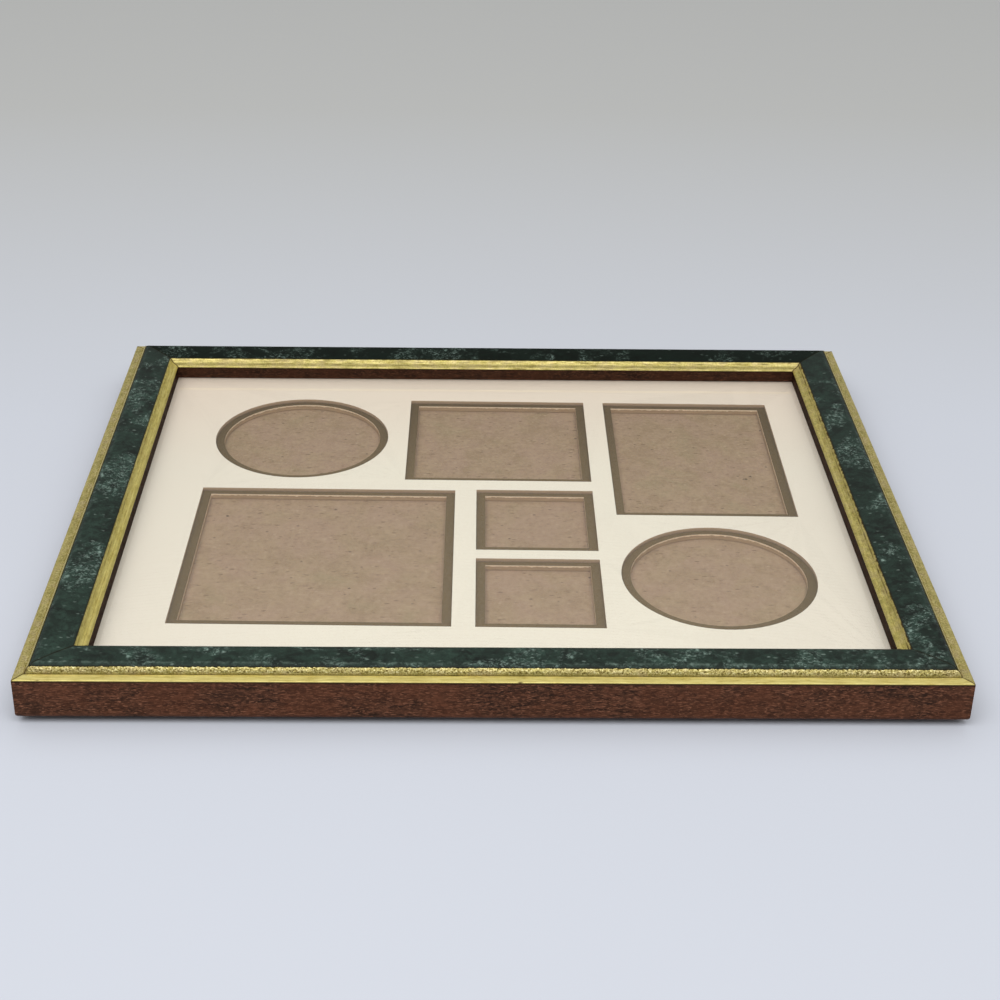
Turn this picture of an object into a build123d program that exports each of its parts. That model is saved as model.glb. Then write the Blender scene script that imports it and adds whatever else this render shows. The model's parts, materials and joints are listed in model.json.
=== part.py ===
from build123d import *
import os

# Collage picture frame lying on its back, with the picture side up.
# The origin is the centre of the outline, on the plane that the screw heads of the back rest on.
# +X runs along the long side, +Y towards the top rail, +Z out of the picture side.

# Outline over the outside of the moulding
frame_length = 342.0
frame_width = 288.0

# What the rebate holds, from the front to the back
glass_thickness = 2.2
mat_thickness = 1.5
liner_thickness = 2.5
backing_thickness = 3.7
back_clearance = 0.3
rebate_width = 6.0
glass_play = 1.5
board_play = 2.5
board_skew = -0.7

# Section of the wooden moulding
lip_height = 5.4
outer_bed_rise = 0.2
facing_bed_rise = 1.1
back_edge_radius = 2.2
moulding_width = 23.0

# Outer gilt strip: a flat band, a groove and a steep bead
outer_gilt_width = 5.4
outer_gilt_height = 3.05
gilt_edge_radius = 0.25
outer_flat_width_share = 0.63
outer_flat_edge_height_share = 0.2
outer_flat_height_share = 0.25
outer_groove_start_share = 0.665
outer_groove_end_share = 0.715
outer_groove_height_share = 0.12
outer_bead_foot_share = 0.2
outer_bead_middle_shares = (0.82, 0.72)
outer_bead_top_share = 0.965

# Marbled facing: a strip with a rounded outer edge and a gentle crown
facing_height = 3.0
facing_outer_edge_share = 0.63
facing_round_shares = (0.055, 0.88)
facing_crest_share = 0.155
facing_crown_shares = (0.58, 0.895)
facing_inner_edge_share = 0.985
facing_inner_height_share = 0.66
facing_inner_side_share = 0.63

# Inner gilt slip: a steep face and a cove down to a groove, then a low bead above the lip
inner_gilt_width = 4.0
inner_gilt_height = 2.95
slip_arris_shares = (0.0375, 0.966)
slip_cove_start_shares = (0.175, 0.729)
slip_cove_middle_shares = (0.325, 0.508)
slip_cove_end_shares = (0.55, 0.39)
slip_groove_shares = (0.5875, 0.278)
slip_bead_start_shares = (0.625, 0.346)
slip_bead_middle_shares = (0.8125, 0.271)
slip_bead_end_shares = (0.9825, 0.108)
slip_inner_height_share = 0.068

# Margins of the mat round its openings, and the bars of board left between them
mat_left_margin = 28.5
mat_right_margin = 21.4
mat_top_margin = 26.1
mat_bottom_margin = 27.55
column_bar = 9.1
outer_row_bar = 10.05
upper_row_bar = 8.45
lower_row_bar = 6.85

# Openings whose size is fixed; the others fill what the bars leave
small_width = 49.95
round_diameter = 77.75
round_outset = 0.6
wide_drop = 0.8
tall_inset = 1.1

# Openings of the liner: smaller all round, and cut a little nearer to the top rail
liner_inset = 3.75
liner_rise = 0.95

# Turn buttons and their screws
button_length = 22.0
button_width = 9.0
button_thickness = 0.8
button_pivot_inset = 4.5
button_axial_gap = 0.1
button_hole_clearance = 0.05
screw_diameter = 2.9
screw_shank_length = 11.0
screw_tip_length = 2.5
screw_head_diameter = 6.4
screw_head_height = 1.2
screw_head_radius = 0.45
screw_recess_length = 3.4
screw_recess_width = 0.8
screw_recess_depth = 0.7
pilot_clearance = 0.03
long_rail_button_share = 0.5
seat_width_share = 0.5

# Sawtooth hanger on the back of the top rail
hanger_length = 45.0
hanger_width = 8.0
hanger_thickness = 0.9
hanger_tab_length = 7.0
hanger_ramp_length = 1.6
hanger_rise = 1.2
tooth_pitch = 2.4
tooth_depth = 1.5
tooth_count = 11
nail_diameter = 1.4
nail_length = 9.0
nail_tip_length = 1.5
nail_head_diameter = 3.2
nail_head_height = 0.6
nail_inset = 3.2

# Steel V nails that hold each mitre together
v_nail_span = 6.4
v_nail_reach = 2.3
v_nail_thickness = 0.45
v_nail_height = 6.0
v_nail_sink = 0.2
v_nail_clearance = 0.05
v_nail_place_shares = (0.34, 0.72)

# One overrun serves every cut
overrun = 1.0

# Levels worked out from the sizes above
rebate_depth = glass_thickness + mat_thickness + liner_thickness + backing_thickness + back_clearance
slip_bed = rebate_depth + lip_height
outer_bed = slip_bed + outer_bed_rise
facing_bed = slip_bed + facing_bed_rise
facing_width = moulding_width - outer_gilt_width - inner_gilt_width
seat_width = moulding_width - rebate_width
slip_outer_edge = moulding_width - inner_gilt_width
back_level = screw_head_height + button_axial_gap + button_thickness + button_axial_gap
glass_top = back_level + rebate_depth
moulding_top = facing_bed + facing_height

# Pocket behind the lip, and the boards that lie in it
pocket_length = frame_length - 2 * seat_width
pocket_width = frame_width - 2 * seat_width

# Turn of each side about Z, in degrees, from the side nearest to the viewer
side_angles = {"bottom": 0, "right": 90, "top": 180, "left": 270}


def run_and_offset(side):
    """Outer length of a side, and how far its outer wall is from the centre."""
    if side in ("bottom", "top"):
        return frame_length, frame_width / 2
    return frame_width, frame_length / 2


def section_point(width, height, shares):
    """A point of a strip's outline, as shares of its width and height."""
    return (shares[0] * width, shares[1] * height)


def core_section():
    """Wood of the rail: outer wall, beds for the applied strips, lip, rebate and back."""
    outline = Polyline(
        (0, back_edge_radius),
        (0, outer_bed),
        (outer_gilt_width, outer_bed),
        (outer_gilt_width, facing_bed),
        (slip_outer_edge, facing_bed),
        (slip_outer_edge, slip_bed),
        (moulding_width, slip_bed),
        (moulding_width, rebate_depth),
        (seat_width, rebate_depth),
        (seat_width, 0),
        (back_edge_radius, 0),
    )
    corner = RadiusArc((back_edge_radius, 0), (0, back_edge_radius), back_edge_radius)
    return make_face(outline + corner)


def outer_gilt_section():
    """Flat band at the outer arris, a groove, and the bead that climbs to the facing."""
    width = outer_gilt_width
    height = outer_gilt_height
    edge = outer_flat_edge_height_share * height
    flat_end = section_point(width, height, (outer_flat_width_share, outer_flat_height_share))
    groove_start = section_point(width, height, (outer_groove_start_share, outer_groove_height_share))
    groove_end = section_point(width, height, (outer_groove_end_share, outer_groove_height_share))
    bead_foot = section_point(width, height, (outer_groove_end_share, outer_bead_foot_share))
    bead_middle = section_point(width, height, outer_bead_middle_shares)
    bead_top = section_point(width, height, (outer_bead_top_share, 1))
    lines = Polyline((0, 0), (0, edge - gilt_edge_radius), (gilt_edge_radius, edge), flat_end,
                     groove_start, groove_end, bead_foot)
    bead = ThreePointArc(bead_foot, bead_middle, bead_top)
    side = Polyline(bead_top, (width, bead_middle[1]), (width, 0), (0, 0))
    return Pos(0, outer_bed) * make_face(lines + bead + side)


def facing_section():
    """Marbled strip between the two gilt strips."""
    width = facing_width
    height = facing_height
    outer_top = (0, facing_outer_edge_share * height)
    crest = (facing_crest_share * width, height)
    inner_top = (facing_inner_edge_share * width, facing_inner_height_share * height)
    inner_side = (width, facing_inner_side_share * height)
    side = Line((0, 0), outer_top)
    rounding = ThreePointArc(outer_top, section_point(width, height, facing_round_shares), crest)
    crown = ThreePointArc(crest, section_point(width, height, facing_crown_shares), inner_top)
    rest = Polyline(inner_top, inner_side, (width, 0), (0, 0))
    return Pos(outer_gilt_width, facing_bed) * make_face(side + rounding + crown + rest)


def inner_gilt_section():
    """Gilt slip that falls from the facing to the lip over the glass."""
    width = inner_gilt_width
    height = inner_gilt_height
    arris = section_point(width, height, slip_arris_shares)
    cove_start = section_point(width, height, slip_cove_start_shares)
    cove_middle = section_point(width, height, slip_cove_middle_shares)
    cove_end = section_point(width, height, slip_cove_end_shares)
    groove = section_point(width, height, slip_groove_shares)
    bead_start = section_point(width, height, slip_bead_start_shares)
    bead_middle = section_point(width, height, slip_bead_middle_shares)
    bead_end = section_point(width, height, slip_bead_end_shares)
    face = Polyline((0, 0), (0, height), arris, cove_start)
    cove = ThreePointArc(cove_start, cove_middle, cove_end)
    valley = Polyline(cove_end, groove, bead_start)
    bead = ThreePointArc(bead_start, bead_middle, bead_end)
    rest = Polyline(bead_end, (width, slip_inner_height_share * height), (width, 0), (0, 0))
    return Pos(slip_outer_edge, slip_bed) * make_face(face + cove + valley + bead + rest)


def mitred_length(section, side):
    """A section run along one side of the frame and cut at 45 degrees at both ends."""
    run, offset = run_and_offset(side)
    bar = extrude(Plane.YZ * section, amount=run / 2, both=True)
    inner_run = run / 2 - moulding_width
    outline = Polygon(
        (-run / 2, 0), (run / 2, 0), (inner_run, moulding_width), (-inner_run, moulding_width), align=None
    )
    wedge = extrude(outline, amount=moulding_top + overrun)
    return Rot(0, 0, side_angles[side]) * Pos(0, -offset, back_level) * (bar & wedge)


def button_places():
    """Pivot of each turn button on the back, with the turn of the rail that it is on."""
    long_step = long_rail_button_share * frame_length / 2
    seat_middle = seat_width_share * seat_width
    steps = {
        "top_left": ("top", long_step),
        "top_right": ("top", -long_step),
        "right": ("right", 0),
        "bottom_right": ("bottom", long_step),
        "bottom_left": ("bottom", -long_step),
        "left": ("left", 0),
    }
    places = {}
    for name, (side, step) in steps.items():
        run, offset = run_and_offset(side)
        places[name] = Rot(0, 0, side_angles[side]) * Pos(step, seat_middle - offset, back_level)
    return places


def turn_button():
    """Flat steel strip with round ends, which turns on its screw and holds the boards in."""
    strip = SlotOverall(button_length, button_width)
    hole = Circle(screw_diameter / 2 + button_hole_clearance)
    blank = Rot(0, 0, 90) * Pos(button_length / 2 - button_pivot_inset, 0) * strip - hole
    return Pos(0, 0, -button_axial_gap - button_thickness) * extrude(blank, amount=button_thickness)


def pan_screw():
    """Pan head screw, head down, with its shank going up into the rail."""
    head_radius = screw_head_diameter / 2
    shank_radius = screw_diameter / 2
    under_head = -button_axial_gap - button_thickness - button_axial_gap
    head = Cylinder(head_radius, screw_head_height, align=(Align.CENTER, Align.CENTER, Align.MAX))
    head = fillet(head.edges().group_by(Axis.Z)[0], screw_head_radius)
    slot = Box(screw_recess_length, screw_recess_width, screw_recess_depth,
               align=(Align.CENTER, Align.CENTER, Align.MIN))
    recess = Pos(0, 0, -screw_head_height) * (slot + Rot(0, 0, 90) * slot)
    straight = screw_shank_length - screw_tip_length
    shank = Cylinder(shank_radius, straight, align=(Align.CENTER, Align.CENTER, Align.MIN))
    tip = Pos(0, 0, straight) * Cone(shank_radius, 0, screw_tip_length,
                                     align=(Align.CENTER, Align.CENTER, Align.MIN))
    return Pos(0, 0, under_head) * (head - recess + shank + tip)


def pilot_hole(diameter, length):
    """Hole in the rail for a screw or a nail, a little wider than its shank."""
    hole = Cylinder(diameter / 2 + pilot_clearance, length + overrun,
                    align=(Align.CENTER, Align.CENTER, Align.MIN))
    return Pos(0, 0, -overrun) * hole


def hanger_place():
    """Middle of the top rail's back, with the teeth towards the bottom of the picture."""
    return Pos(0, frame_width / 2 - seat_width_share * seat_width, back_level)


def nail_places():
    """The two nails of the hanger, one in each end tab."""
    step = hanger_length / 2 - nail_inset
    return [hanger_place() * Pos(-step, 0, 0), hanger_place() * Pos(step, 0, 0)]


def sawtooth_hanger():
    """Steel strap with two end tabs on the wood and a raised, toothed middle."""
    end = hanger_length / 2
    ramp_start = end - hanger_tab_length
    ramp_end = ramp_start - hanger_ramp_length
    upper = [(-end, 0), (-ramp_start, 0), (-ramp_end, -hanger_rise),
             (ramp_end, -hanger_rise), (ramp_start, 0), (end, 0)]
    lower = [(x, z - hanger_thickness) for x, z in reversed(upper)]
    side_view = make_face(Polyline(*upper, *lower, close=True))
    strap = extrude(Plane.XZ * side_view, amount=hanger_width / 2, both=True)
    tooth = Polygon((-tooth_pitch / 2, 0), (tooth_pitch / 2, 0), (0, tooth_depth), align=None)
    for index in range(tooth_count):
        x = (index - (tooth_count - 1) / 2) * tooth_pitch
        cut = extrude(Pos(x, -hanger_width / 2) * tooth, amount=-hanger_rise - hanger_thickness - overrun)
        strap -= cut
    strap = hanger_place() * strap
    for place in nail_places():
        strap -= place * Pos(0, 0, -hanger_thickness) * pilot_hole(nail_diameter, hanger_thickness)
    return strap


def hanger_nail():
    """Round wire nail with a flat head, driven up into the rail."""
    radius = nail_diameter / 2
    straight = nail_length - nail_tip_length
    low = (Align.CENTER, Align.CENTER, Align.MIN)
    head = Cylinder(nail_head_diameter / 2, nail_head_height, align=(Align.CENTER, Align.CENTER, Align.MAX))
    shank = Cylinder(radius, straight, align=low)
    tip = Pos(0, 0, straight) * Cone(radius, 0, nail_tip_length, align=low)
    return Pos(0, 0, -hanger_thickness) * (head + shank + tip)


def v_outline(spare):
    """Plan of a V nail across a mitre that runs along +X, grown by a spare on every face."""
    half = v_nail_span / 2
    thick = v_nail_thickness / 2
    line = Polyline((v_nail_reach, half), (0, 0), (v_nail_reach, -half))
    return make_face(offset(line, thick + spare, side=Side.BOTH).edges())


def v_nail_places():
    """Two V nails in each corner, on the mitre line, from the outside in."""
    places = []
    for x_side, y_side, turn in ((-1, -1, 45), (1, -1, 135), (1, 1, 225), (-1, 1, 315)):
        corner = Pos(x_side * frame_length / 2, y_side * frame_width / 2, back_level)
        for share in v_nail_place_shares:
            inset = share * seat_width
            places.append(corner * Pos(-x_side * inset, -y_side * inset, 0) * Rot(0, 0, turn))
    return places


def v_nail():
    """Thin steel V, driven in from the back until it is just below the wood."""
    return Pos(0, 0, v_nail_sink) * extrude(v_outline(0), amount=v_nail_height)


def v_nail_slot():
    """The slot that a V nail fills, open at the back of the rail."""
    height = v_nail_sink + v_nail_height + v_nail_clearance + overrun
    return Pos(0, 0, -overrun) * extrude(v_outline(v_nail_clearance), amount=height)


def wooden_rail(side):
    """One mitred rail with its pilot holes and its halves of the V nail slots."""
    rail = mitred_length(core_section(), side)
    for place in button_places().values():
        rail -= place * pilot_hole(screw_diameter, screw_shank_length)
    for place in nail_places():
        rail -= place * pilot_hole(nail_diameter, nail_length)
    for place in v_nail_places():
        rail -= place * v_nail_slot()
    return rail


def opening_faces(inset, rise):
    """The seven openings of the collage, drawn in by an inset and moved up, in the mat's own axes."""
    left = mat_left_margin - pocket_length / 2 + board_play
    right = pocket_length / 2 - board_play - mat_right_margin
    top = pocket_width / 2 - board_play - mat_top_margin
    bottom = mat_bottom_margin - pocket_width / 2 + board_play
    tall_left = right - round_diameter + tall_inset
    middle_right = tall_left - column_bar
    middle_left = middle_right - small_width
    round_left = left - round_outset
    round_bottom = top - round_diameter
    wide_left = round_left + round_diameter + column_bar
    wide_bottom = round_bottom - wide_drop
    large_top = round_bottom - outer_row_bar
    tall_bottom = bottom + round_diameter + outer_row_bar
    upper_top = wide_bottom - upper_row_bar
    small_height = (upper_top - bottom - lower_row_bar) / 2
    boxes = [
        (left, bottom, middle_left - column_bar, large_top),
        (wide_left, wide_bottom, middle_right, top),
        (middle_left, upper_top - small_height, middle_right, upper_top),
        (middle_left, bottom, middle_right, bottom + small_height),
        (tall_left, tall_bottom, right, top),
    ]
    round_radius = round_diameter / 2
    rounds = [(round_left + round_radius, top - round_radius), (right - round_radius, bottom + round_radius)]
    faces = []
    for x_low, y_low, x_high, y_high in boxes:
        window = Rectangle(x_high - x_low - 2 * inset, y_high - y_low - 2 * inset)
        faces.append(Pos((x_low + x_high) / 2, (y_low + y_high) / 2 + rise) * window)
    for x, y in rounds:
        faces.append(Pos(x, y + rise) * Circle(round_radius - inset))
    return faces


def board(thickness, play, top, openings=()):
    """A sheet that lies in the pocket with some play, with its top at a given level."""
    sheet = Rectangle(pocket_length - 2 * play, pocket_width - 2 * play)
    for opening in openings:
        sheet -= opening
    return Pos(0, 0, top - thickness) * extrude(sheet, amount=thickness)


def put_out(node, shape, label):
    """Write one node; a group of like pieces is one compound of separate solids."""
    shape.label = label
    export_step(shape, os.path.join("parts", node + ".step"))


def main():
    os.makedirs("parts", exist_ok=True)
    skew = Rot(0, 0, board_skew)
    mat_top = glass_top - glass_thickness
    liner_top = mat_top - mat_thickness
    backing_top = liner_top - liner_thickness

    for side in side_angles:
        put_out(side + "_rail", wooden_rail(side), "wooden rail")
        put_out(side + "_outer_gilt", mitred_length(outer_gilt_section(), side), "outer gilt strip")
        put_out(side + "_marbled_facing", mitred_length(facing_section(), side), "marbled facing")
        put_out(side + "_inner_gilt", mitred_length(inner_gilt_section(), side), "inner gilt slip")

    put_out("glass_pane", board(glass_thickness, glass_play, glass_top), "glass")
    mat = board(mat_thickness, board_play, mat_top, opening_faces(0, 0))
    put_out("window_mat", skew * mat, "window mat")
    liner = board(liner_thickness, board_play, liner_top, opening_faces(liner_inset, liner_rise))
    put_out("liner_card", skew * liner, "liner card")
    put_out("backing_board", skew * board(backing_thickness, board_play, backing_top), "backing board")

    places = button_places()
    for name, place in places.items():
        put_out("turn_button_" + name, place * turn_button(), "turn button")
    screws = [place * pan_screw() for place in places.values()]
    put_out("turn_button_screws", Compound(children=screws), "turn button screws")

    put_out("sawtooth_hanger", sawtooth_hanger(), "sawtooth hanger")
    nails = [place * hanger_nail() for place in nail_places()]
    put_out("hanger_nails", Compound(children=nails), "hanger nails")
    wedges = [place * v_nail() for place in v_nail_places()]
    put_out("corner_v_nails", Compound(children=wedges), "corner V nails")


main()
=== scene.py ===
import json
from math import atan2, cos, hypot, pi, radians, sin

import bmesh
import bpy
from mathutils import Matrix, Vector, noise


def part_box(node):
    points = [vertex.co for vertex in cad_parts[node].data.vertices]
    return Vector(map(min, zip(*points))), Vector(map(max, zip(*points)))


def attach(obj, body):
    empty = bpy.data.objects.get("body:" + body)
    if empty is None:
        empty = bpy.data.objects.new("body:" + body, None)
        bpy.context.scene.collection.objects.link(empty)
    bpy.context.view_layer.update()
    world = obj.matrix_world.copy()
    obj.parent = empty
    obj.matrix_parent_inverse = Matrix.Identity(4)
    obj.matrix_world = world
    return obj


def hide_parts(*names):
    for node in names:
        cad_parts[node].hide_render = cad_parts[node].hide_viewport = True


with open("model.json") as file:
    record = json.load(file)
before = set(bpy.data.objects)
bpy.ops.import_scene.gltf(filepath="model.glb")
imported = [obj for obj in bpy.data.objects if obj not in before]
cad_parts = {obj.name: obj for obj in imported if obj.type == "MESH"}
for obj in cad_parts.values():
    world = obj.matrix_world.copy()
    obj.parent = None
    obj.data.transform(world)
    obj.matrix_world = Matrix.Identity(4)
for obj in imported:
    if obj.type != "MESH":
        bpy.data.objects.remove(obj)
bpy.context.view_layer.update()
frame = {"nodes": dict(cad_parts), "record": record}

MM = 0.001
LONG_SIDES = ("bottom", "top")
nodes = frame["nodes"]
bodies = frame["record"]["behaviour"]["bodies"]
root_body = next(name for name, members in bodies.items() if "glass_pane" in members)

# Turn of each side about Z, in degrees, from the side nearest to the viewer
SIDES = {"bottom": 0, "right": 90, "top": 180, "left": 270}

# Outline of the frame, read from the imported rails
frame_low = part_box("left_rail")[0]
frame_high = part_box("right_rail")[1]
frame_length = frame_high[0] - frame_low[0]
frame_width = frame_high[1] - frame_low[1]
half_length = frame_length / 2
half_width = frame_width / 2
rail_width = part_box("left_rail")[1][0] - frame_low[0]
wood_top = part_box("bottom_outer_gilt")[0][2]
lip_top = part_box("bottom_inner_gilt")[0][2]

# Open mitre between two strips, and the dark seam beside it
mitre_gap = 0.06 * MM
seam_width = 0.65 * MM

# Where each side starts in the noise, so that no two sides wear alike
strip_shifts = {"bottom": 0.0, "right": 1.7, "top": 3.1, "left": 5.3}

# Bends steeper than these stay sharp, or get a rounded edge
strip_sharp_angle = radians(50)
rounded_edge_angle = radians(40)


def srgb(red, green, blue):
    """A colour given as screen values of 0 to 255, as the linear colour that shaders take."""
    channels = []
    for value in (red, green, blue):
        part = value / 255
        channels.append(part / 12.92 if part <= 0.04045 else ((part + 0.055) / 1.055) ** 2.4)
    return (*channels, 1.0)


class Graph:
    """A material's node tree, with short ways to add and join nodes."""

    def __init__(self, name):
        self.material = bpy.data.materials.new(name)
        self.material.use_nodes = True
        self.tree = self.material.node_tree
        self.tree.nodes.clear()
        self.output = self.tree.nodes.new("ShaderNodeOutputMaterial")
        self.place = self.add("ShaderNodeTexCoord").outputs["Object"]

    def add(self, kind, inputs=None, **settings):
        """A node whose inputs are plain values or the outputs of other nodes."""
        node = self.tree.nodes.new(kind)
        for key, value in settings.items():
            setattr(node, key, value)
        for key, value in (inputs or {}).items():
            socket = node.inputs[key]
            if isinstance(value, bpy.types.NodeSocket):
                self.tree.links.new(value, socket)
            else:
                socket.default_value = value
        return node

    def stretched(self, scale, turn=0.0):
        """The place on the object, scaled along each axis and turned about Z."""
        mapping = self.add("ShaderNodeMapping", {"Vector": self.place})
        mapping.inputs["Scale"].default_value = scale
        mapping.inputs["Rotation"].default_value = (0, 0, turn)
        return mapping.outputs["Vector"]

    def along_rail(self, along_x, run, cross):
        """The place on the object, scaled by run along the rail and by cross across it."""
        return self.stretched((run, cross, cross) if along_x else (cross, run, cross))

    def axis(self, name):
        """The place along one axis of the object."""
        return self.add("ShaderNodeSeparateXYZ", {"Vector": self.place}).outputs[name]

    def noise(self, vector, scale, detail=3.0, rough=0.55, warp=0.0):
        return self.add("ShaderNodeTexNoise", {"Vector": vector, "Scale": scale, "Detail": detail,
                                               "Roughness": rough, "Distortion": warp}).outputs["Fac"]

    def math(self, operation, first, second=0.0, clamp=False):
        inputs = {0: first, 1: second}
        return self.add("ShaderNodeMath", inputs, operation=operation, use_clamp=clamp).outputs[0]

    def times(self, first, second):
        return self.math("MULTIPLY", first, second)

    def between(self, value, low, high, out_low=0.0, out_high=1.0):
        """value read from low to high and given back from out_low to out_high."""
        inputs = {"Value": value, "From Min": low, "From Max": high, "To Min": out_low, "To Max": out_high}
        return self.add("ShaderNodeMapRange", inputs, clamp=True).outputs["Result"]

    def from_middle(self, value):
        """How far a noise is from its middle value, which it passes along thin wandering lines."""
        return self.math("ABSOLUTE", self.math("SUBTRACT", value, 0.5))

    def mix(self, factor, first, second):
        """Blend of two colours."""
        node = self.add("ShaderNodeMix", data_type="RGBA")
        for key, value in ((0, factor), (6, first), (7, second)):
            if isinstance(value, bpy.types.NodeSocket):
                self.tree.links.new(value, node.inputs[key])
            else:
                node.inputs[key].default_value = value
        return node.outputs[2]

    def layered(self, colour, layers):
        """A colour under layers, each given as its strength and its tone, from the lowest up."""
        for strength, tone in layers:
            colour = self.mix(strength, colour, tone)
        return colour

    def flecks(self, scale, turn, few, edge, middle, ragged):
        """Small ragged specks, one in each cell whose random number is over few."""
        wander = self.add("ShaderNodeTexNoise", {"Vector": self.place, "Scale": 900.0, "Detail": 2.0})
        shake = self.add("ShaderNodeVectorMath", {0: wander.outputs["Color"], 1: (0.5, 0.5, 0.5)},
                         operation="SUBTRACT")
        push = self.add("ShaderNodeVectorMath", {0: shake.outputs[0], "Scale": ragged}, operation="SCALE")
        place = self.add("ShaderNodeVectorMath", {0: self.stretched(scale, turn), 1: push.outputs[0]},
                         operation="ADD")
        cells = self.add("ShaderNodeTexVoronoi", {"Vector": place.outputs[0], "Scale": 1.0})
        lot = self.add("ShaderNodeSeparateXYZ", {"Vector": cells.outputs["Color"]})
        chosen = self.math("GREATER_THAN", lot.outputs["X"], few)
        speck = self.between(cells.outputs["Distance"], edge, middle)
        return self.times(speck, self.times(chosen, lot.outputs["Y"]))

    def bump(self, height, distance):
        return self.add("ShaderNodeBump", {"Height": height, "Distance": distance}).outputs["Normal"]

    def attribute(self, name):
        return self.add("ShaderNodeAttribute", attribute_name=name).outputs["Fac"]

    def upward(self):
        """How far the surface faces up, from -1 to 1."""
        normal = self.add("ShaderNodeNewGeometry").outputs["Normal"]
        return self.add("ShaderNodeSeparateXYZ", {"Vector": normal}).outputs["Z"]

    def inside(self, half_x, half_y):
        """1 within a rectangle about the object's origin, seen from above."""
        near_x = self.math("LESS_THAN", self.math("ABSOLUTE", self.axis("X")), half_x)
        near_y = self.math("LESS_THAN", self.math("ABSOLUTE", self.axis("Y")), half_y)
        return self.times(near_x, near_y)

    def surface(self, inputs):
        """The one Principled shader of the material."""
        shader = self.add("ShaderNodeBsdfPrincipled", inputs)
        self.tree.links.new(shader.outputs[0], self.output.inputs["Surface"])
        return self.material


def stained_wood(name, along_x, lip_shade, gloss):
    """Dark red brown stain, mottled, with short pale pores and fine streaks along the rail, and painted
    shade.
    """
    slack = 0.1 * MM
    arris_depth, arris_shade = 0.7 * MM, 0.8
    rim_depth, rim_shade = 0.6 * MM, 0.92
    graph = Graph(name)
    streaks = graph.noise(graph.along_rail(along_x, 110.0, 900.0), 0.6, 4.0, 0.65, 0.5)
    pores = graph.noise(graph.along_rail(along_x, 550.0, 2800.0), 1.0, 2.0, 0.5, 0.3)
    mottle = graph.noise(graph.along_rail(along_x, 400.0, 1050.0), 1.0, 4.0, 0.7, 0.8)
    clouds = graph.noise(graph.place, 60.0, 4.0, 0.6)
    ground = graph.mix(graph.between(streaks, 0.40, 0.60), srgb(48, 30, 20), srgb(82, 51, 35))
    # Painted shade: the inner lip is darkened, most just under the inner gilt, and so is the wood just under
    # the outer gilt's arris.
    lip = graph.inside(half_length - rail_width + slack, half_width - rail_width + slack)
    arris = graph.between(graph.axis("Z"), wood_top - arris_depth, wood_top - slack)
    rim = graph.between(graph.axis("Z"), lip_top - rim_depth, lip_top - slack, lip_shade, rim_shade)
    dark = graph.math("MAXIMUM", graph.times(lip, rim), graph.times(arris, arris_shade))
    colour = graph.layered(ground, (
        (graph.between(mottle, 0.50, 0.63, 0.0, 0.82), srgb(111, 70, 51)),
        (graph.between(mottle, 0.46, 0.34, 0.0, 0.8), srgb(36, 20, 12)),
        (graph.between(pores, 0.57, 0.67, 0.0, 0.9), srgb(146, 98, 74)),
        (graph.between(clouds, 0.42, 0.62, 0.0, 0.4), srgb(96, 54, 34)),
        (graph.between(clouds, 0.44, 0.30, 0.0, 0.35), srgb(44, 27, 18)),
        (dark, srgb(24, 10, 3)),
    ))
    return graph.surface({
        "Base Color": colour,
        "Roughness": graph.between(pores, 0.3, 0.7, 0.5, 0.64),
        "Normal": graph.bump(graph.math("ADD", streaks, graph.times(pores, 0.5)), 0.12 * MM),
        "Specular IOR Level": gloss,
    })


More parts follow.
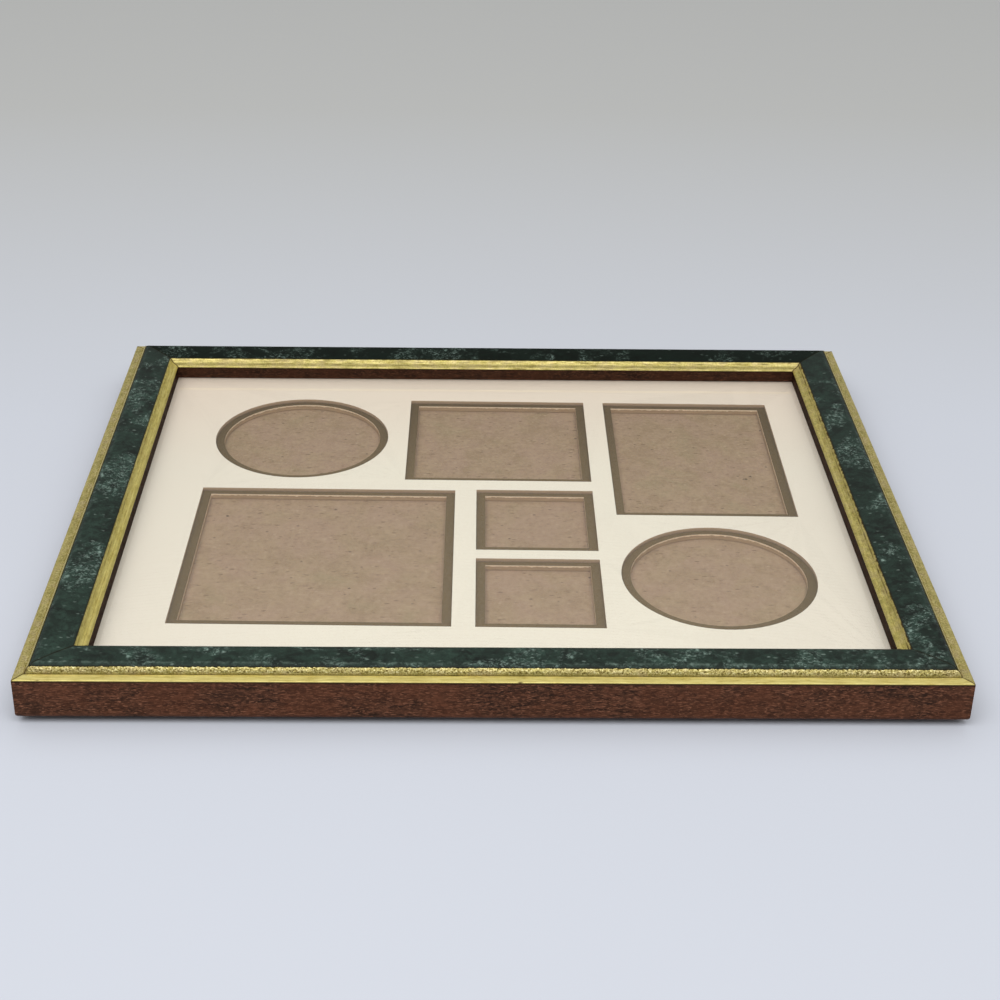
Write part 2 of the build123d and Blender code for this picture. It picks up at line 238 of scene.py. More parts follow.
def green_marble(name, shade):
    """Dark green mottled ground with pale strokes and flecks in loose clusters, like marble.

    shade is how far the ground and its gloss are darkened, as painted shade on the side that faces the
    viewer least.
    """
    pale = 1 - 0.5 * shade
    far_from, far_to, far_shade = 90 * MM, 140 * MM, max(shade, 0.4)
    right_from, right_to, right_shade = 90 * MM, 160 * MM, 0.22
    graph = Graph(name)
    clouds = graph.noise(graph.place, 62.0, 4.0, 0.6, 0.8)
    fine = graph.noise(graph.place, 300.0, 5.0, 0.7, 0.5)
    clusters = graph.noise(graph.place, 48.0, 3.0, 0.6, 0.6)
    veins = graph.noise(graph.place, 120.0, 5.0, 0.7, 2.0)
    where = graph.between(clusters, 0.51, 0.60)
    ground = graph.mix(graph.between(clouds, 0.36, 0.62), srgb(14, 22, 17), srgb(32, 48, 40))
    # Painted shade: the ground darkens towards the far end and towards the right end.
    far_end = graph.between(graph.axis("Y"), far_from, far_to, shade, far_shade)
    right_end = graph.between(graph.axis("X"), right_from, right_to, 0.0, right_shade)
    colour = graph.layered(ground, (
        (graph.between(fine, 0.44, 0.66, 0.0, 0.55), srgb(52, 73, 63)),
        (graph.times(where, graph.between(fine, 0.42, 0.60, 0.0, 0.35)), srgb(66, 90, 80)),
        (graph.between(graph.from_middle(veins), 0.0, 0.03, 0.6, 0.0), srgb(14, 21, 18)),
        (graph.math("MAXIMUM", far_end, right_end), srgb(9, 15, 10)),
    ))

    # Cells a metre, their stretch along Y, turn, strength, and how few of them have a stroke
    strokes = ((430.0, 2.3, 0.5, 0.5, 0.80), (600.0, 0.5, -0.4, 0.55, 0.77), (820.0, 2.4, 1.1, 0.6, 0.76))
    for cells, tall, turn, amount, few in strokes:
        flecks = graph.flecks((cells, cells * tall, cells), turn, few, 0.45, 0.2, 0.5)
        strength = graph.times(flecks, graph.times(where, amount * pale))
        colour = graph.mix(strength, colour, srgb(156, 180, 170))

    # Thin broken lines within the clusters
    for wander, turn in ((330.0, 0.3), (470.0, 1.3)):
        lines = graph.noise(graph.stretched((wander, wander * 1.6, wander), turn), 1.0, 3.0, 0.6, 0.8)
        thin = graph.between(graph.from_middle(lines), 0.012, 0.035, 1.0, 0.0)
        broken = graph.between(graph.noise(graph.place, wander * 1.3, 2.0), 0.52, 0.60, 0.0, 0.5 * pale)
        colour = graph.mix(graph.times(graph.times(thin, broken), where), colour, srgb(144, 167, 156))

    lone = graph.flecks((420.0, 700.0, 420.0), 0.2, 0.88, 0.4, 0.2, 0.5)
    # Painted highlight along the top of the facing's rounded outer edge, brought in by its leaf attribute.
    crest_highlight = graph.times(graph.attribute("leaf"), graph.between(fine, 0.44, 0.60, 0.1, 1.0))
    colour = graph.layered(colour, (
        (graph.times(lone, 0.45 * pale), srgb(140, 158, 148)),
        (crest_highlight, srgb(122, 138, 128)),
        (graph.attribute("patina_and_shade"), srgb(26, 25, 11)),
    ))
    return graph.surface({
        "Base Color": colour,
        "Roughness": graph.between(fine, 0.3, 0.7, 0.42, 0.58),
        "Normal": graph.bump(fine, 0.08 * MM),
        "Specular IOR Level": 0.14 - 0.12 * shade,
    })


def gilt(name, along_x, low, high):
    """Gold leaf rubbed over a dark ground, tarnished in the grooves and at the mitres, with painted shade
    and highlights.
    """
    graph = Graph(name)
    brushed = graph.noise(graph.along_rail(along_x, 160.0, 1300.0), 1.0, 3.0, 0.6, 0.2)
    clouds = graph.noise(graph.place, 90.0, 3.0)
    crinkle = graph.noise(graph.place, 1500.0, 3.0, 0.65, 0.5)
    patches = graph.noise(graph.place, 230.0, 4.0, 0.65)
    patina_and_shade = graph.attribute("patina_and_shade")
    rough = graph.attribute("leaf")
    lines = graph.times(graph.between(brushed, 0.43, 0.34), graph.between(crinkle, 0.58, 0.46))
    stain = graph.times(rough, graph.math("SUBTRACT", 1.25, rough))
    # Painted shade in the pits of the crinkle and a painted highlight on its peaks, where its bump is low
    # and high.
    pits = graph.times(rough, graph.between(crinkle, 0.51, 0.38))
    peaks = graph.times(rough, graph.between(crinkle, 0.54, 0.68))
    leaf = graph.mix(graph.between(brushed, 0.35, 0.65), low, high)
    colour = graph.layered(leaf, (
        (graph.between(clouds, 0.4, 0.7, 0.0, 0.4), srgb(208, 194, 124)),
        (graph.times(lines, 0.4), srgb(166, 146, 70)),
        (graph.times(rough, 0.6), srgb(160, 147, 96)),
        (graph.times(stain, graph.between(patches, 0.50, 0.60)), srgb(146, 140, 64)),
        (graph.times(stain, graph.between(patches, 0.50, 0.40, 0.0, 0.9)), srgb(200, 180, 146)),
        (graph.times(pits, 0.9), srgb(90, 75, 25)),
        (graph.times(peaks, 0.8), srgb(240, 232, 184)),
        (patina_and_shade, srgb(60, 38, 6)),
    ))
    dullness = graph.between(clouds, 0.3, 0.7, 0.32, 0.44)
    for part, amount in ((rough, 0.12), (patina_and_shade, 0.35)):
        dullness = graph.math("ADD", dullness, graph.times(part, amount), clamp=True)
    height = graph.math("ADD", graph.times(brushed, 0.35), graph.times(rough, crinkle))
    return graph.surface({
        "Base Color": colour,
        "Metallic": graph.between(patina_and_shade, 0.0, 1.0, 0.9, 0.1),
        "Roughness": dullness,
        "Normal": graph.bump(height, 0.14 * MM),
        "Specular IOR Level": 0.15,
    })


def clear_glass(name):
    """Thin picture glass: it bends and mirrors what is seen, and lets the light of the lamp through."""
    graph = Graph(name)
    glass = graph.add("ShaderNodeBsdfPrincipled", {
        "Base Color": (0.985, 0.995, 0.99, 1.0),
        "Roughness": 0.0,
        "IOR": 1.5,
        "Transmission Weight": 1.0,
    })
    open_way = graph.add("ShaderNodeBsdfTransparent", {"Color": (0.97, 0.98, 0.975, 1.0)})
    path = graph.add("ShaderNodeLightPath")
    lit = graph.math("MAXIMUM", path.outputs["Is Shadow Ray"], path.outputs["Is Diffuse Ray"])
    either = graph.add("ShaderNodeMixShader", {0: lit, 1: glass.outputs[0], 2: open_way.outputs[0]})
    graph.tree.links.new(either.outputs[0], graph.output.inputs["Surface"])
    return graph.material


def cut_board(node, name, face, painted_shade_tones, core, core_dark, burr_and_highlight, fibre_scale):
    """Board with a paper face and a bare cut edge with a slightly furred arris, painted pale as a highlight,
    and a painted shadow at its foot.

    painted_shade_tones gives two tones that the face takes on towards its left and right ends and its far
    side, as painted shade.
    """
    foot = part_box(node)[0][2]
    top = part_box(node)[1][2]
    sideways_from, sideways_to = 70 * MM, 160 * MM
    far_from, far_to = 30 * MM, 120 * MM
    least_burr_and_highlight, most_burr_and_highlight, burr_and_highlight_strength = 0.3 * MM, 0.9 * MM, 0.9
    foot_shadow = 0.8 * MM
    graph = Graph(name)
    fibres = graph.noise(graph.place, fibre_scale, 4.0, 0.65)
    clouds = graph.noise(graph.place, 14.0, 2.0)
    layers = graph.noise(graph.stretched((150.0, 150.0, 5200.0)), 1.0, 3.0)
    ragged = graph.noise(graph.place, 500.0, 3.0)
    even = graph.between(clouds, 0.3, 0.7, 0.75, 1.0)
    off_centre = graph.math("ABSOLUTE", graph.axis("X"))
    # Painted shade: the face darkens towards its left and right ends and towards its far side.
    sideways = graph.between(off_centre, sideways_from, sideways_to, 0.0, 0.75)
    far = graph.between(graph.axis("Y"), far_from, far_to)
    clean = graph.mix(graph.between(fibres, 0.3, 0.7, 0.0, 0.10), face, core)
    paper = graph.layered(clean, ((graph.times(sideways, even), painted_shade_tones[0]), (graph.times(far, even), painted_shade_tones[1])))
    # The top of the cut edge is painted pale: partly a furred arris, partly a painted highlight.
    reach = graph.between(ragged, 0.3, 0.7, least_burr_and_highlight, most_burr_and_highlight)
    near_top = graph.math("GREATER_THAN", graph.math("ADD", graph.axis("Z"), reach), top)
    # Painted shadow at the foot of the cut edge.
    near_foot = graph.between(graph.axis("Z"), foot, foot + foot_shadow, 0.5, 0.0)
    cut = graph.mix(graph.between(layers, 0.35, 0.65), core_dark, core)
    bare = graph.layered(cut, ((graph.times(near_top, burr_and_highlight_strength), burr_and_highlight), (near_foot, srgb(96, 72, 50))))
    return graph.surface({
        "Base Color": graph.mix(graph.between(graph.upward(), 0.5, 0.9), bare, paper),
        "Roughness": 0.85,
        "Normal": graph.bump(fibres, 0.04 * MM),
        "Specular IOR Level": 0.12,
    })


def chipboard(name):
    """Brown board of waste paper, with faint fibres along it and small dark specks."""
    graph = Graph(name)
    fibres = graph.noise(graph.stretched((520.0, 420.0, 420.0)), 1.0, 5.0, 0.75, 0.3)
    threads = graph.noise(graph.stretched((170.0, 620.0, 500.0), 0.03), 1.0, 3.0, 0.6, 0.2)
    blotches = graph.noise(graph.place, 110.0, 4.0, 0.65, 0.4)
    tint = graph.noise(graph.place, 60.0, 3.0, 0.6, 0.5)
    ground = graph.mix(graph.between(blotches, 0.38, 0.62), srgb(151, 125, 96), srgb(163, 137, 108))
    colour = graph.layered(ground, (
        (graph.between(tint, 0.42, 0.62, 0.0, 0.6), srgb(163, 133, 112)),
        (graph.between(tint, 0.40, 0.28, 0.0, 0.6), srgb(150, 131, 98)),
        (graph.between(fibres, 0.50, 0.64, 0.0, 0.32), srgb(182, 156, 127)),
        (graph.between(fibres, 0.48, 0.35, 0.0, 0.32), srgb(130, 104, 79)),
        (graph.between(threads, 0.60, 0.70, 0.0, 0.35), srgb(128, 101, 76)),
        (graph.between(threads, 0.40, 0.30, 0.0, 0.35), srgb(184, 158, 128)),
    ))

    # Cells a metre, their stretch along Y, turn, how few have a bit, its reach, strength and tone
    dash, pale, spot = srgb(116, 90, 66), srgb(188, 164, 138), srgb(70, 48, 34)
    bits = ((300.0, 2.4, 0.06, 0.82, 0.40, 0.9, dash), (240.0, 2.2, -0.5, 0.86, 0.34, 0.8, dash),
            (420.0, 1.2, 0.9, 0.82, 0.38, 0.5, pale), (360.0, 1.3, 0.2, 0.93, 0.30, 0.8, spot),
            (120.0, 1.1, 0.4, 0.95, 0.14, 1.0, spot), (210.0, 1.1, -0.5, 0.965, 0.18, 1.0, spot))
    for cells, tall, turn, few, edge, amount, tone in bits:
        bit = graph.flecks((cells, cells * tall, cells), turn, few, edge, edge * 0.4, 0.3)
        colour = graph.mix(graph.times(bit, amount), colour, tone)
    return graph.surface({
        "Base Color": colour,
        "Roughness": 0.9,
        "Normal": graph.bump(fibres, 0.05 * MM),
        "Specular IOR Level": 0.15,
    })


def plated_steel(name, bright, dull):
    """Stamped sheet steel with thin plating, slightly streaked and dulled."""
    graph = Graph(name)
    streaks = graph.noise(graph.stretched((200.0, 2600.0, 900.0), 0.4), 1.0, 3.0)
    clouds = graph.noise(graph.place, 320.0, 3.0)
    return graph.surface({
        "Base Color": graph.mix(graph.between(clouds, 0.35, 0.7), bright, dull),
        "Metallic": 1.0,
        "Roughness": graph.between(streaks, 0.3, 0.7, 0.28, 0.44),
        "Normal": graph.bump(streaks, 0.03 * MM),
    })


def arc_points(first, middle, last, count):
    """Points on the arc through three points, from the first to the last."""
    ax, ay = first
    bx, by = middle
    cx, cy = last
    twice = 2 * (ax * (by - cy) + bx * (cy - ay) + cx * (ay - by))
    a_square, b_square, c_square = ax * ax + ay * ay, bx * bx + by * by, cx * cx + cy * cy
    x = (a_square * (by - cy) + b_square * (cy - ay) + c_square * (ay - by)) / twice
    y = (a_square * (cx - bx) + b_square * (ax - cx) + c_square * (bx - ax)) / twice
    radius = hypot(ax - x, ay - y)
    start = atan2(ay - y, ax - x)
    end = atan2(cy - y, cx - x)
    while twice < 0 and end > start:
        end -= 2 * pi
    while twice > 0 and end < start:
        end += 2 * pi
    angles = [start + (end - start) * index / count for index in range(count + 1)]
    return [(x + radius * cos(angle), y + radius * sin(angle)) for angle in angles]


def spread(points, step):
    """A run of straight pieces, divided into lengths of about a step."""
    result = [points[0]]
    for start, end in zip(points, points[1:]):
        pieces = max(1, round(hypot(end[0] - start[0], end[1] - start[1]) / step))
        for index in range(1, pieces + 1):
            share = index / pieces
            result.append((start[0] + (end[0] - start[0]) * share, start[1] + (end[1] - start[1]) * share))
    return result


def smooth_fall(distance, width):
    """1 at nothing, falling smoothly to 0 at a width."""
    share = min(max(distance / width, 0.0), 1.0)
    return 1 - share * share * (3 - 2 * share)


def wavering(x, y, z):
    """Smooth noise from 0 to 1, at a place that is given in waves, not in metres."""
    return 0.5 + 0.5 * noise.noise(Vector((x, y, z)))


class Strip:
    """Where an applied strip lies in the moulding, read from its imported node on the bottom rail."""

    def __init__(self, part):
        low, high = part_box("bottom_" + part)
        self.part = part
        self.start = low[1] - frame_low[1]
        self.width = high[1] - low[1]
        self.bed = low[2]
        self.height = high[2] - low[2]

    def at(self, width_share, height_share):
        """The point of the section at a share of the strip's width and of its height."""
        return (self.start + width_share * self.width, self.bed + height_share * self.height)


def mitred_sweep(strip, side, outline, step, marks, shift):
    """The strip's outline run along one side, mitred at both ends, as one closed mesh.

    marks(u, z, along, to_end) gives how far the surface stands proud, its patina_and_shade, and its leaf,
    which on a facing is a painted highlight.
    """
    length = frame_length if side in LONG_SIDES else frame_width
    offset = half_width if side in LONG_SIDES else half_length
    turn = Matrix.Rotation(radians(SIDES[side]), 4, "Z")
    stations = round(length / step)
    count = len(outline)
    normals = []
    for index in range(count):
        before = outline[index - 1]
        after = outline[(index + 1) % count]
        across, up = after[0] - before[0], after[1] - before[1]
        size = hypot(across, up) or 1.0
        normals.append((-up / size, across / size))
    mesh = bmesh.new()
    patina_and_shade_layer = mesh.verts.layers.float.new("patina_and_shade")
    leaf_layer = mesh.verts.layers.float.new("leaf")
    rings = []
    for station in range(stations + 1):
        share = 2 * station / stations - 1
        ring = []
        for (u, z), (nu, nz) in zip(outline, normals):
            reach = length / 2 - u - mitre_gap
            x = share * reach
            proud, patina_and_shade, leaf = marks(u, z, x + shift, reach - abs(x))
            point = Vector((x, u + nu * proud - offset, z + nz * proud))
            vertex = mesh.verts.new(turn @ point)
            vertex[patina_and_shade_layer] = patina_and_shade
            vertex[leaf_layer] = leaf
            ring.append(vertex)
        rings.append(ring)
    for ring, following in zip(rings, rings[1:]):
        for index in range(count):
            other = (index + 1) % count
            mesh.faces.new((ring[index], ring[other], following[other], following[index]))
    mesh.faces.new(rings[0])
    mesh.faces.new(rings[-1])
    bmesh.ops.recalc_face_normals(mesh, faces=mesh.faces)
    name = side + "_" + strip.part
    data = bpy.data.meshes.new(name + "_finish")
    mesh.to_mesh(data)
    mesh.free()
    data.shade_smooth()
    data.set_sharp_from_angle(angle=strip_sharp_angle)
    piece = bpy.data.objects.new(name + "_finish", data)
    bpy.context.scene.collection.objects.link(piece)
    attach(piece, root_body)
    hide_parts(name)
    return piece


def make_outer_gilt(side, material):
    """Flat band at the arris, a dark groove, and a steep bead with crinkled leaf, with a painted shadow on
    its outer side.
    """
    strip = Strip("outer_gilt")
    step, flat_step, bead_pieces = 0.4 * MM, 0.3 * MM, 12
    groove_share, wear, flat_leaf = (0.12, 1.0, 0.05) if side in LONG_SIDES else (0.21, 0.25, 0.6)
    groove = strip.at(0.69, groove_share)
    bead_top = strip.at(0.965, 1.0)
    top = [strip.at(0, 0), strip.at(0, 0.1), strip.at(0.015, 0.145), strip.at(0.046, 0.17),
           strip.at(0.34, 0.225), strip.at(0.63, 0.275), strip.at(0.665, groove_share),
           strip.at(0.715, groove_share)]
    bead = arc_points(strip.at(0.715, groove_share + 0.08), strip.at(0.82, 0.72), bead_top, bead_pieces)
    outline = spread(top, flat_step) + bead + [strip.at(0.99, 0.9), strip.at(1, 0.72), strip.at(1, 0)]
    shift = strip_shifts[side]
    edge = 0.1 * MM
    crown_width, crown_rise, bead_rise = 0.35 * MM, 0.24 * MM, 0.14 * MM
    groove_reach, wall_reach, nick_reach = 0.55 * MM, 0.62 * MM, 0.9 * MM
    nick_level, nick_strength = 0.52, 5

    def marks(u, z, along, to_end):
        depth = (z - groove[1]) / (bead_top[1] - groove[1])
        on_bead = u > groove[0] + edge and z > groove[1] + edge
        leaf = min(1.0, max(0.0, depth * 2.0)) * wear
        if not on_bead:
            leaf = flat_leaf * min(1.0, 0.4 + (u - strip.start) / (0.6 * strip.width))
        bumps = noise.fractal(Vector((along * 1400, u * 1500, z * 1500)), 0.8, 2.1, 3)
        rise = crown_rise if u > bead_top[0] - crown_width else bead_rise
        proud = bumps * rise * leaf if on_bead else 0.0
        ragged = wavering(along * 700, 3.0, shift)
        in_groove = smooth_fall(hypot(u - groove[0], z - groove[1]), groove_reach)
        at_top = smooth_fall(abs(u - strip.start - strip.width), edge) * 0.8
        seam = smooth_fall(to_end, seam_width * (0.5 + ragged))
        dirt = max(0.0, noise.noise(Vector((along * 60, shift, u * 40))) - 0.25) * 0.6 * leaf
        # Painted shadow on the strip's outer side, fading upward from its bed under the arris.
        below = smooth_fall(z - strip.bed, wall_reach) if u < strip.start + edge else 0.0
        nick = max(0.0, noise.noise(Vector((along * 170, shift, 9.0))) - nick_level) * nick_strength
        nick *= smooth_fall(u - strip.start, nick_reach * (0.4 + ragged))
        patina_and_shade = max(in_groove * wear * (0.3 + 1.1 * ragged), at_top * wear * (0.4 + 0.8 * ragged),
                     seam, dirt, below, nick)
        return proud, min(1.0, patina_and_shade), leaf

    piece = mitred_sweep(strip, side, outline, step, marks, shift)
    piece.data.materials.append(material)


def make_facing(side, material):
    """Marbled strip with a rounded outer edge, a low crown and dark, slightly uneven edges, and a painted
    highlight along its rounding.
    """
    strip = Strip("marbled_facing")
    step, rounding_pieces, crown_pieces = 0.8 * MM, 8, 20
    rounding = arc_points(strip.at(0, 0.63), strip.at(0.055, 0.88), strip.at(0.155, 1), rounding_pieces)
    crown = arc_points(strip.at(0.155, 1), strip.at(0.58, 0.895), strip.at(0.985, 0.66), crown_pieces)
    outline = [strip.at(0, 0)] + rounding + crown[1:] + [strip.at(1, 0.63), strip.at(1, 0)]
    shift = strip_shifts[side]
    crest_place = strip.at(0.12, 1)[0]
    # Strength of the painted highlight along the rounding on each side, most on the bottom rail.
    highlight_strength = {"bottom": 0.28, "top": 0.05}.get(side, 0.08)
    frayed_share = 1.0 if side in LONG_SIDES else 0.45
    edge_reach, crest_reach = 0.6 * MM, 0.9 * MM
    bed_margin, unevenness = 0.2 * MM, 0.03 * MM
    edge_strength = 0.9

    def marks(u, z, along, to_end):
        from_outer = u - strip.start
        from_inner = strip.start + strip.width - u
        ragged = wavering(along * 800, u * 300, shift)
        frayed = wavering(along * 1500, 5.0, shift)
        outer = smooth_fall(from_outer, edge_reach * (0.2 + 1.1 * ragged + 0.9 * frayed)) * frayed_share
        inner = smooth_fall(from_inner, edge_reach * (0.5 + ragged))
        seam = smooth_fall(to_end, 1.3 * seam_width * (0.5 + ragged))
        bumps = noise.noise(Vector((along * 260, u * 260, z * 260)))
        proud = bumps * unevenness if z > strip.bed + bed_margin else 0.0
        crest_highlight = smooth_fall(abs(u - crest_place), crest_reach) * highlight_strength
        return proud, max(outer, inner, seam) * edge_strength, crest_highlight

    piece = mitred_sweep(strip, side, outline, step, marks, shift)
    piece.data.materials.append(material)


def make_inner_gilt(side, material):
    """Steep face and a cove down to a thin groove, then a low bead at the lip."""
    strip = Strip("inner_gilt")
    step, face_step, pieces = 0.6 * MM, 0.2 * MM, 8
    groove = strip.at(0.5875, 0.285 if side in LONG_SIDES else 0.335)
    face = spread([strip.at(0, 1), strip.at(0.0375, 0.966), strip.at(0.175, 0.729)], face_step)
    cove = arc_points(strip.at(0.175, 0.729), strip.at(0.325, 0.508), strip.at(0.55, 0.39), pieces)
    bead = arc_points(strip.at(0.625, 0.346), strip.at(0.8125, 0.271), strip.at(0.9825, 0.108), pieces)
    outline = [strip.at(0, 0)] + face + cove[1:] + [groove] + bead + [strip.at(1, 0.068), strip.at(1, 0)]
    shift = strip_shifts[side]

    # Wear of the groove, dirt at the outer edge, tarnish, and crinkle of the leaf
    worn = {"top": (2.4, 0.5, 0.3, 0.35), "left": (1.0, 0.65, 0.0, 0.08)}
    wear, edge_dirt, tarnish, leaf = worn.get(side, (1.0, 1.15, 0.03, 0.35))
    groove_reach, fringe_least, fringe_most = 0.16 * MM, 0.2 * MM, 1.6 * MM
    line_share, line_reach = 0.2, 0.09
    ribbon_share, ribbon_reach = 0.42, 0.24
    bed_margin, unevenness = 0.1 * MM, 0.03 * MM

    def marks(u, z, along, to_end):
        share = (u - strip.start) / strip.width
        ragged = wavering(along * 600, 7.0, shift)
        spots = 0.5 + 0.5 * noise.fractal(Vector((along * 420, u * 900, shift)), 0.7, 2.1, 3)
        broken = 0.5 + 0.5 * noise.fractal(Vector((along * 140, 11.0, shift)), 0.8, 2.3, 3)
        in_groove = smooth_fall(hypot(u - groove[0], z - groove[1]), groove_reach)
        in_groove = in_groove * (0.15 + 0.3 * ragged) * wear
        fringe = smooth_fall(u - strip.start, fringe_least + fringe_most * max(0.0, spots - 0.4))
        line = smooth_fall(abs(share - line_share), line_reach) * max(0.0, 1.5 * broken - 0.3)
        ribbon = smooth_fall(abs(share - ribbon_share), ribbon_reach) * (0.05 + 0.55 * spots)
        at_outer = max(fringe, line, ribbon) * edge_dirt
        seam = smooth_fall(to_end, seam_width * (0.5 + ragged))
        streak = wavering(along * 160, u * 2600, shift)
        rubbed = tarnish * (0.4 + 3.2 * max(0.0, streak - 0.45))
        bumps = noise.fractal(Vector((along * 500, u * 900, z * 900)), 0.9, 2.0, 2)
        proud = bumps * unevenness if z > strip.bed + bed_margin else 0.0
        return proud, min(1.0, max(in_groove, at_outer, seam, rubbed)), leaf

    piece = mitred_sweep(strip, side, outline, step, marks, shift)
    piece.data.materials.append(material)


def paint(node, material):
    """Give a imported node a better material."""
    data = nodes[node].data
    data.materials.clear()
    data.materials.append(material)


def soften(node, width):
    """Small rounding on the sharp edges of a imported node."""
    bevel = nodes[node].modifiers.new("edge_round", "BEVEL")
    bevel.width = width
    bevel.segments = 2
    bevel.limit_method = "ANGLE"
    bevel.angle_limit = rounded_edge_angle
    bevel.harden_normals = True


def look_matrix(place, pitch, yaw, roll):
    """Camera matrix for a heading given as turns down, to the right and about the view."""
    forward = Vector((sin(yaw) * cos(pitch), cos(yaw) * cos(pitch), -sin(pitch)))
    level = Vector((cos(yaw), -sin(yaw), 0))
    upward = level.cross(forward)
    right = cos(roll) * level + sin(roll) * upward
    above = -sin(roll) * level + cos(roll) * upward
    matrix = Matrix((right, above, -forward)).transposed().to_4x4()
    matrix.translation = place
    return matrix


def make_camera():
    """The photograph's view."""
    data = bpy.data.cameras.new("view_camera")
    data.sensor_fit = "HORIZONTAL"
    data.sensor_width = 36.0
    data.lens = 66.0
    data.shift_x = 0.0127
    data.shift_y = -0.0155
    data.clip_start = 0.01
    camera = bpy.data.objects.new("view_camera", data)
    bpy.context.scene.collection.objects.link(camera)
    place = Vector((-0.0149, -0.6816, 0.3890))
    pitch, yaw, roll = radians(28.403), radians(1.162), radians(0.896)
    camera.matrix_world = look_matrix(place, pitch, yaw, roll)
    bpy.context.scene.camera = camera


def make_floor():
    """Wide, flat, pale floor, just below the screw heads."""
    half = 6.0
    drop = 0.05 * MM
    far_from, far_to = 0.1, 0.6
    signs = ((-1, -1), (1, -1), (1, 1), (-1, 1))
    mesh = bmesh.new()
    corners = [mesh.verts.new((x * half, y * half, -drop)) for x, y in signs]
    mesh.faces.new(corners)
    data = bpy.data.meshes.new("pale_floor")
    mesh.to_mesh(data)
    mesh.free()
    floor = bpy.data.objects.new("pale_floor", data)
    bpy.context.scene.collection.objects.link(floor)
    graph = Graph("pale_floor")
    clouds = graph.noise(graph.place, 3.0, 2.0)
    near = graph.mix(graph.between(clouds, 0.3, 0.7, 0.0, 0.15), srgb(201, 205, 215), srgb(193, 197, 206))
    colour = graph.mix(graph.between(graph.axis("Y"), far_from, far_to), near, srgb(192, 193, 193))
    data.materials.append(graph.surface({"Base Color": colour, "Roughness": 0.9, "Specular IOR Level": 0.1}))


def make_light(name, place, target, size, power):
    """Soft rectangular lamp, turned towards a target."""
    data = bpy.data.lights.new(name, "AREA")
    data.shape = "RECTANGLE"
    data.size, data.size_y = size
    data.energy = power
    lamp = bpy.data.objects.new(name, data)
    lamp.location = place
    lamp.rotation_euler = (Vector(target) - Vector(place)).to_track_quat("-Z", "Y").to_euler()
    bpy.context.scene.collection.objects.link(lamp)


def make_world():
    """Pale at the horizon, darker above it and bright overhead."""
    # Rise of the view direction, and the grey there
    sky = ((0.0, 0.60), (0.10, 0.52), (0.24, 0.24), (0.44, 0.24), (0.68, 0.92))
    blue_share = 0.98
    world = bpy.data.worlds.new("studio")
    bpy.context.scene.world = world
    world.use_nodes = True
    tree = world.node_tree
    tree.nodes.clear()
    output = tree.nodes.new("ShaderNodeOutputWorld")
    background = tree.nodes.new("ShaderNodeBackground")
    where = tree.nodes.new("ShaderNodeTexCoord")
    axes = tree.nodes.new("ShaderNodeSeparateXYZ")
    shade = tree.nodes.new("ShaderNodeValToRGB")
    tree.links.new(where.outputs["Generated"], axes.inputs[0])
    tree.links.new(axes.outputs["Z"], shade.inputs["Fac"])
    stops = shade.color_ramp.elements
    while len(stops) < len(sky):
        stops.new(0.5)
    for stop, (height, grey) in zip(stops, sky):
        stop.position = height
        stop.color = (grey, grey, grey * blue_share, 1.0)
    tree.links.new(shade.outputs["Color"], background.inputs["Color"])
    tree.links.new(background.outputs[0], output.inputs["Surface"])


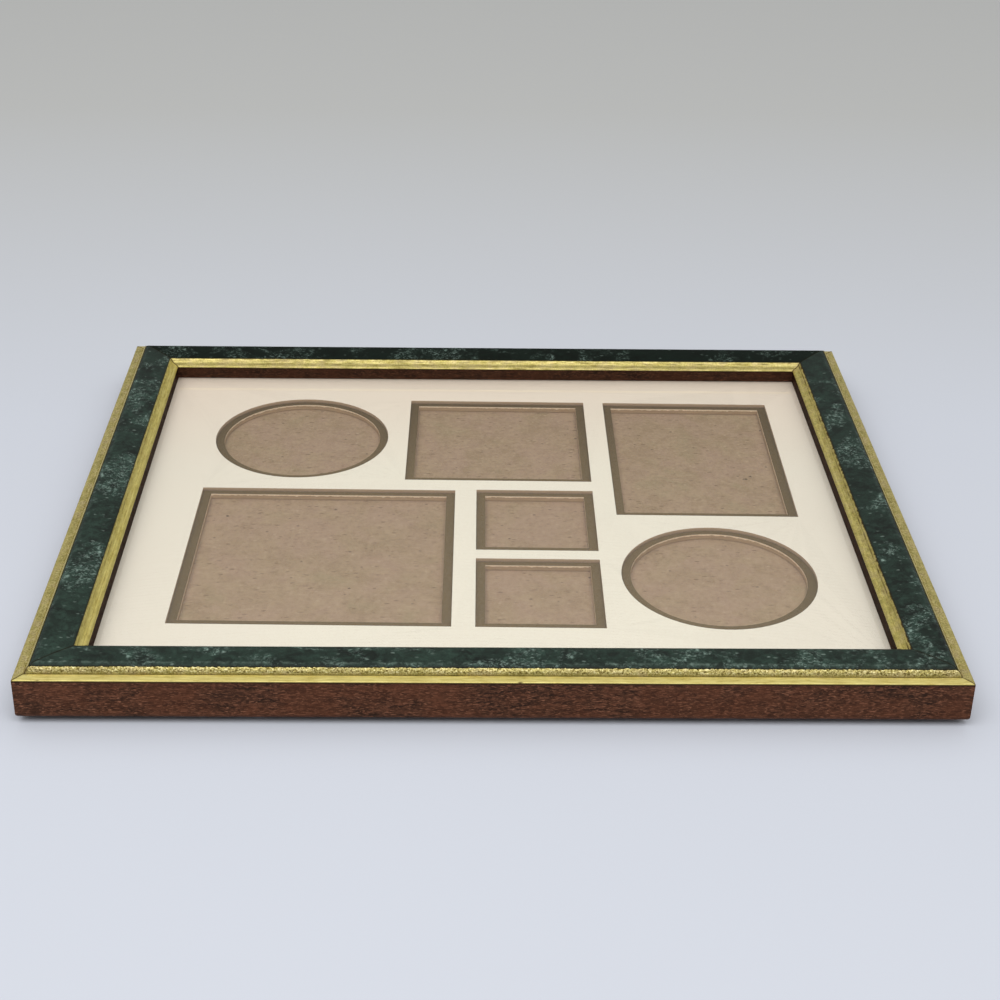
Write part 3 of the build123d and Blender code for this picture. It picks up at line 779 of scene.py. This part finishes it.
def finish_moulding():
    """Stain the rails and lay the finer gilt and marbled strips over them."""
    edge_rounding = 0.3 * MM
    wood = {True: stained_wood("mahogany_long", True, 0.6, 0.11),
            False: stained_wood("mahogany_short", False, 0.8, 0.03)}
    outer_low, outer_high = srgb(208, 191, 111), srgb(238, 224, 146)
    inner_low, inner_high = srgb(218, 200, 106), srgb(246, 232, 142)
    outer_gold = {run: gilt(f"outer_gilt_{run}", run, outer_low, outer_high) for run in (True, False)}
    inner_gold = {run: gilt(f"inner_gilt_{run}", run, inner_low, inner_high) for run in (True, False)}
    marble = green_marble("green_marble", 0.0)
    # A copy of the marble darkened as painted shade, for the top rail.
    painted_shade_marble = green_marble("green_marble_painted_shade", 0.8)
    for side in SIDES:
        along_x = side in LONG_SIDES
        paint(side + "_rail", wood[along_x])
        soften(side + "_rail", edge_rounding)
        make_outer_gilt(side, outer_gold[along_x])
        # The top rail's facing takes the marble darkened as painted shade.
        make_facing(side, painted_shade_marble if side == "top" else marble)
        # The top rail's inner strip takes the duller outer gold, as painted shade on the far side.
        make_inner_gilt(side, outer_gold[along_x] if side == "top" else inner_gold[along_x])


def finish_boards():
    """Glass, window mat, liner card and backing board."""
    paint("glass_pane", clear_glass("picture_glass"))
    # The second tones of the mat and of the card are painted shade towards the ends and the far side.
    cream, cream_painted_shade = srgb(239, 230, 214), (srgb(226, 214, 200), srgb(236, 217, 200))
    brown, brown_dark = srgb(200, 167, 133), srgb(186, 152, 118)
    paint("window_mat", cut_board("window_mat", "cream_mat", cream, cream_painted_shade, brown, brown_dark,
                                  brown, 900.0))
    # The card's own dark brown, set darker still as painted shade under the mat's edge.
    card, card_painted_shade = srgb(96, 76, 39), (srgb(84, 66, 31), srgb(80, 60, 26))
    card_edge, card_edge_dark, card_burr_and_highlight = srgb(196, 165, 129), srgb(172, 141, 106), srgb(252, 228, 198)
    paint("liner_card", cut_board("liner_card", "liner", card, card_painted_shade, card_edge, card_edge_dark,
                                  card_burr_and_highlight, 700.0))
    paint("backing_board", chipboard("grey_chipboard"))


def finish_fittings():
    """Zinc plated fasteners and a brass plated hanger."""
    zinc = plated_steel("zinc_plate", srgb(196, 199, 204), srgb(164, 167, 170))
    brass = plated_steel("brass_plate", srgb(206, 178, 110), srgb(170, 142, 84))
    for node in nodes:
        if node.startswith("turn_button") or node in ("hanger_nails", "corner_v_nails"):
            paint(node, zinc)
    paint("sawtooth_hanger", brass)


def make_set():
    """Camera, floor, sky and one soft lamp above and before the frame."""
    lamp_place, lamp_size, lamp_power = (-0.1, -0.65, 1.15), (1.4, 0.9), 10.0
    make_camera()
    make_floor()
    make_world()
    make_light("soft_top", lamp_place, (0, 0, 0), lamp_size, lamp_power)
    bpy.context.scene.view_settings.view_transform = "Standard"


finish_moulding()
finish_boards()
finish_fittings()
make_set()
